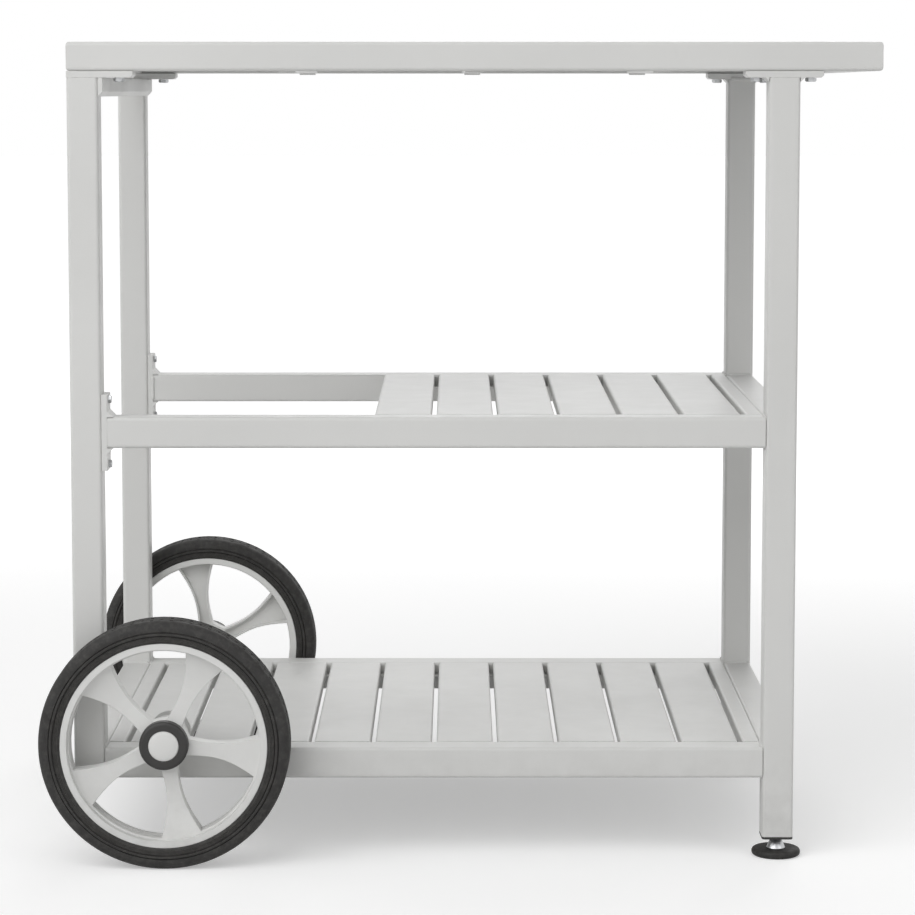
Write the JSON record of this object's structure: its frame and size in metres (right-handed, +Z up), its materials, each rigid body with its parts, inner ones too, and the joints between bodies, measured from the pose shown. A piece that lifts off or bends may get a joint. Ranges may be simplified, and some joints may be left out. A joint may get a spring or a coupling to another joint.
{
  "type": "griddle cart",
  "caption": "Outdoor-kitchen griddle cart: square-tube steel frame, flat top, slatted shelves, gas-bottle opening, spoked wheels at one end and levelling feet at the other.",
  "frame": {"origin": "on the floor, under the middle of the cart's box", "axes": "+X along the cart towards the levelling feet, +Y from front to back, +Z up"},
  "size_m": [1.02, 0.724, 1],
  "materials": {
    "frame_paint": "satin off-white powder coat",
    "slat_paint": "satin off-white powder coat",
    "deck_steel": "brushed stainless steel",
    "plated_steel": "zinc plated",
    "black_plastic": "matt moulded",
    "bush_plastic": "natural nylon",
    "tyre_rubber": "moulded rubber",
    "pad_rubber": "moulded rubber",
    "rim_metal": "cast, powder coated off-white",
    "cap_metal": "powder coated off-white"
  },
  "bodies": {
    "frame": {"deck_plate": "deck_steel", "deck_ledges": "frame_paint", "top_cross_rails": "frame_paint", "top_front_rail": "frame_paint", "top_rear_rail": "frame_paint", "top_left_rail": "frame_paint", "top_right_rail": "frame_paint", "front_left_leg": "frame_paint", "rear_left_leg": "frame_paint", "front_right_leg": "frame_paint", "rear_right_leg": "frame_paint", "leg_flanges": "frame_paint", "left_tie_bar": "frame_paint", "flange_bolts": "plated_steel", "flange_rivet_nuts": "plated_steel", "mid_front_rail": "frame_paint", "mid_rear_rail": "frame_paint", "mid_right_rail": "frame_paint", "mid_end_plates": "frame_paint", "end_plate_bolts": "plated_steel", "end_plate_rivet_nuts": "plated_steel", "mid_ledges": "frame_paint", "mid_end_bar": "slat_paint", "mid_slats": "slat_paint", "lower_front_rail": "frame_paint", "lower_rear_rail": "frame_paint", "lower_left_rail": "frame_paint", "lower_right_rail": "frame_paint", "lower_ledges": "frame_paint", "lower_end_bars": "slat_paint", "lower_slats": "slat_paint", "left_leg_plugs": "black_plastic", "right_leg_inserts": "black_plastic", "axle_brackets": "frame_paint", "axle_bolts": "plated_steel", "axle_spacers": "plated_steel", "axle_washers": "plated_steel", "axle_nuts": "plated_steel"},
    "front_wheel": {"front_tyre": "tyre_rubber", "front_rim": "rim_metal", "front_hub_bushes": "bush_plastic", "front_hub_cover": "black_plastic", "front_hub_cap": "cap_metal"},
    "rear_wheel": {"rear_tyre": "tyre_rubber", "rear_rim": "rim_metal", "rear_hub_bushes": "bush_plastic", "rear_hub_cover": "black_plastic", "rear_hub_cap": "cap_metal"},
    "front_foot": {"front_foot_pad": "pad_rubber", "front_foot_stem": "plated_steel"},
    "rear_foot": {"rear_foot_pad": "pad_rubber", "rear_foot_stem": "plated_steel"}
  },
  "joints": [
    {"name": "front_wheel_spin", "type": "hinge", "parent": "frame", "child": "front_wheel", "pos_m": [-0.3575, -0.337, 0.1525], "axis": [0, 1, 0], "continuous": true},
    {"name": "rear_wheel_spin", "type": "hinge", "parent": "frame", "child": "rear_wheel", "pos_m": [-0.3575, 0.337, 0.1525], "axis": [0, 1, 0], "continuous": true},
    {"name": "front_foot_level", "type": "slide", "parent": "frame", "child": "front_foot", "axis": [0, 0, 1], "range_m": [-0.02, 0.0025]},
    {"name": "rear_foot_level", "type": "slide", "parent": "frame", "child": "rear_foot", "axis": [0, 0, 1], "range_m": [-0.02, 0.0025]}
  ]
}
